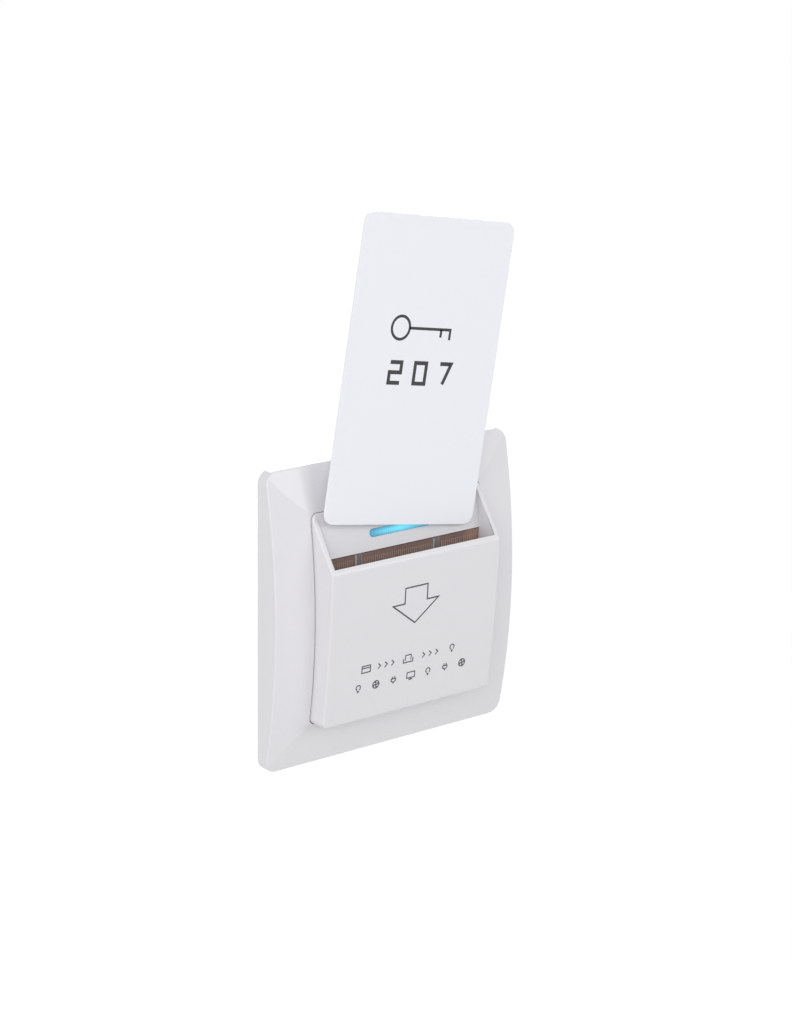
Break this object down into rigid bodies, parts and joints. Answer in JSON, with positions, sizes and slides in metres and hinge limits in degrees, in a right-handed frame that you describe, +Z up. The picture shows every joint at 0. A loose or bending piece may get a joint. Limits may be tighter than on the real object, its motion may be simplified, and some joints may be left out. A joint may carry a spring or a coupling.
{
  "type": "hotel key card switch",
  "caption": "Square wall switch with a crowned frame, a projecting pocket for a guest card, a light bar and a stepped rear housing with cage terminals.",
  "frame": {"origin": "midway between the two wall screws, on the wall plane", "axes": "+X right along the wall, +Y into the wall, +Z up; the front faces -Y"},
  "size_m": [0.086, 0.0396, 0.1548],
  "materials": {
    "white_plastic": "moulded, high gloss",
    "frosted_lens": "frosted clear",
    "smoked_plastic": "smoked brown, glossy",
    "clear_plastic": "clear",
    "grey_plastic": "moulded, satin",
    "housing_plastic": "moulded, fine spark texture",
    "plated_steel": "zinc plated",
    "screw_steel": "yellow zinc plated",
    "circuit_board": "green solder mask",
    "copper_track": "bare copper",
    "lamp_body": "white with clear dome",
    "black_epoxy": "moulded epoxy",
    "tinned_metal": "tinned",
    "black_plastic": "moulded",
    "gold_pins": "gold flash",
    "relay_case": "dark blue, smooth",
    "yellow_case": "yellow, smooth",
    "can_sleeve": "black sleeve",
    "blue_lacquer": "dipped lacquer",
    "brown_case": "moulded",
    "terminal_plastic": "moulded, dark grey",
    "contact_brass": "bare",
    "card_plastic": "laminated, satin gloss"
  },
  "bodies": {
    "switch_body": {"antenna_coil": "copper_track", "assembly_screws": "plated_steel", "board_screws": "plated_steel", "card_guides": "clear_plastic", "carrier_plate": "grey_plastic", "chip_bodies": "black_epoxy", "chip_legs": "tinned_metal", "clock_crystal": "tinned_metal", "contact_bars": "contact_brass", "face_frame": "white_plastic", "film_capacitor": "yellow_case", "fuse": "brown_case", "indicator_lamps": "lamp_body", "light_bar": "frosted_lens", "link_pins": "gold_pins", "link_socket": "black_plastic", "link_spacer": "black_plastic", "pocket_cover": "white_plastic", "power_board": "circuit_board", "reader_board": "circuit_board", "rear_housing": "housing_plastic", "rectifier": "black_epoxy", "regulator": "black_epoxy", "relay": "relay_case", "slot_liner": "smoked_plastic", "smoothing_capacitors": "can_sleeve", "terminal_block": "terminal_plastic", "varistor": "blue_lacquer"},
    "card_inlay": {"card_coil": "copper_track", "card_chip": "black_epoxy"},
    "guest_card": {"card_front_sheet": "card_plastic", "card_back_sheet": "card_plastic"},
    "cage_1": {"terminal_cage_1": "plated_steel"},
    "screw_1": {"terminal_screw_1": "screw_steel"},
    "cage_2": {"terminal_cage_2": "plated_steel"},
    "screw_2": {"terminal_screw_2": "screw_steel"},
    "cage_3": {"terminal_cage_3": "plated_steel"},
    "screw_3": {"terminal_screw_3": "screw_steel"},
    "cage_4": {"terminal_cage_4": "plated_steel"},
    "screw_4": {"terminal_screw_4": "screw_steel"}
  },
  "joints": [
    {"name": "card_slide", "type": "slide", "parent": "switch_body", "child": "card_inlay", "axis": [-0.0978, 0, -0.9952], "range_m": [0, 0.04975]},
    {"name": "card_turn", "type": "hinge", "parent": "card_inlay", "child": "guest_card", "pos_m": [0.00486, -0.0104, 0.06561], "axis": [0, -1, 0], "range_deg": [0, 9.52]},
    {"name": "screw_1_turn", "type": "hinge", "parent": "switch_body", "child": "screw_1", "pos_m": [-0.0126, 0.018, -0.02645], "axis": [0, -1, 0], "range_deg": [0, 2160]},
    {"name": "cage_1_rise", "type": "slide", "parent": "switch_body", "child": "cage_1", "axis": [0, 1, 0], "range_m": [0, 0.003]},
    {"name": "screw_2_turn", "type": "hinge", "parent": "switch_body", "child": "screw_2", "pos_m": [-0.0042, 0.018, -0.02645], "axis": [0, -1, 0], "range_deg": [0, 2160]},
    {"name": "cage_2_rise", "type": "slide", "parent": "switch_body", "child": "cage_2", "axis": [0, 1, 0], "range_m": [0, 0.003]},
    {"name": "screw_3_turn", "type": "hinge", "parent": "switch_body", "child": "screw_3", "pos_m": [0.0042, 0.018, -0.02645], "axis": [0, -1, 0], "range_deg": [0, 2160]},
    {"name": "cage_3_rise", "type": "slide", "parent": "switch_body", "child": "cage_3", "axis": [0, 1, 0], "range_m": [0, 0.003]},
    {"name": "screw_4_turn", "type": "hinge", "parent": "switch_body", "child": "screw_4", "pos_m": [0.0126, 0.018, -0.02645], "axis": [0, -1, 0], "range_deg": [0, 2160]},
    {"name": "cage_4_rise", "type": "slide", "parent": "switch_body", "child": "cage_4", "axis": [0, 1, 0], "range_m": [0, 0.003]}
  ],
  "couplings": [
    {"joint": "card_turn", "follows": "card_slide", "rad_per_m": 3.3327},
    {"joint": "screw_1_turn", "follows": "cage_1_rise", "rad_per_m": 12566},
    {"joint": "screw_2_turn", "follows": "cage_2_rise", "rad_per_m": 12566},
    {"joint": "screw_3_turn", "follows": "cage_3_rise", "rad_per_m": 12566},
    {"joint": "screw_4_turn", "follows": "cage_4_rise", "rad_per_m": 12566}
  ]
}
